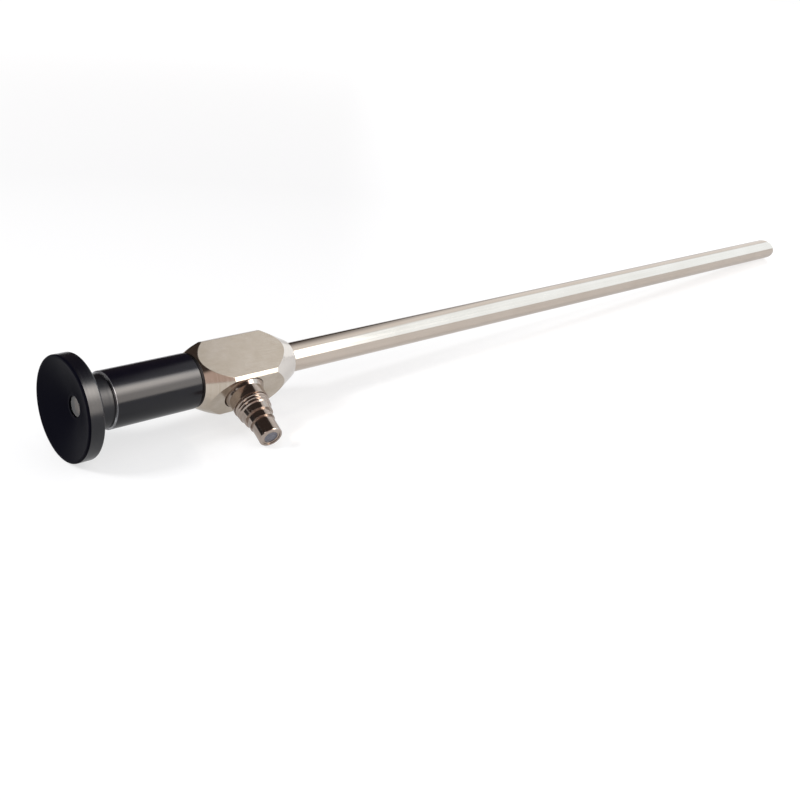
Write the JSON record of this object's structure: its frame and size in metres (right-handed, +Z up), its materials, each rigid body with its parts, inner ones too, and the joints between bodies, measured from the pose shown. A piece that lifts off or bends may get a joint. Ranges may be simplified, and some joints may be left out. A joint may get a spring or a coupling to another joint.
{
  "type": "rigid endoscope",
  "caption": "Rigid endoscope with a dished black eyepiece, black grip, milled steel body with a stepped light post, and a long straight shaft with a slanted viewing tip.",
  "frame": {"origin": "centre of the eyepiece face, on the optical axis", "axes": "+X along the table toward the tip, +Z up; the optical axis dips 1.56 degrees below +X, because the telescope lies on its eyepiece rim, tip and light post"},
  "size_m": [0.4102, 0.0449, 0.0321],
  "materials": {
    "body_steel": "satin brushed",
    "cell_steel": "darkened",
    "distal_glass": "polished",
    "eyepiece_black": "fine turned matte",
    "ferrule_steel": "turned",
    "fibre_glass": "polished fibre ends",
    "grip_black": "black anodised, satin",
    "inner_black": "black anodised",
    "lens_glass": "polished, coated",
    "post_steel": "polished, turned",
    "rod_glass": "polished, ground edge",
    "seal_rubber": "moulded",
    "shaft_steel": "fine drawn, polished",
    "tube_steel": "drawn",
    "window_glass": "polished"
  },
  "bodies": {
    "root": {"body_seal": "seal_rubber", "deflecting_prism": "lens_glass", "distal_window": "distal_glass", "eye_crown_lens": "lens_glass", "eye_flint_lens": "lens_glass", "eyepiece_cup": "eyepiece_black", "eyepiece_seal": "seal_rubber", "eyepiece_window": "window_glass", "field_lens": "lens_glass", "field_stop": "inner_black", "front_lens": "lens_glass", "grip_sleeve": "grip_black", "light_fibres": "fibre_glass", "light_post": "post_steel", "main_body": "body_steel", "objective_cell": "cell_steel", "objective_lens_1": "lens_glass", "objective_lens_2": "lens_glass", "objective_spacer": "inner_black", "ocular_cell": "inner_black", "ocular_ring": "inner_black", "ocular_spacer": "inner_black", "optical_tube": "tube_steel", "outer_sheath": "shaft_steel", "post_ferrule": "ferrule_steel", "rod_lens_1": "rod_glass", "rod_lens_2": "rod_glass", "rod_lens_3": "rod_glass", "rod_lens_4": "rod_glass", "rod_lens_5": "rod_glass", "rod_lens_6": "rod_glass", "rod_lens_7": "rod_glass", "rod_lens_8": "rod_glass", "rod_spacer_1": "inner_black", "rod_spacer_2": "inner_black", "rod_spacer_3": "inner_black", "rod_spacer_4": "inner_black", "rod_spacer_5": "inner_black", "rod_spacer_6": "inner_black", "rod_spacer_7": "inner_black", "window_ring": "inner_black"}
  },
  "joints": []
}
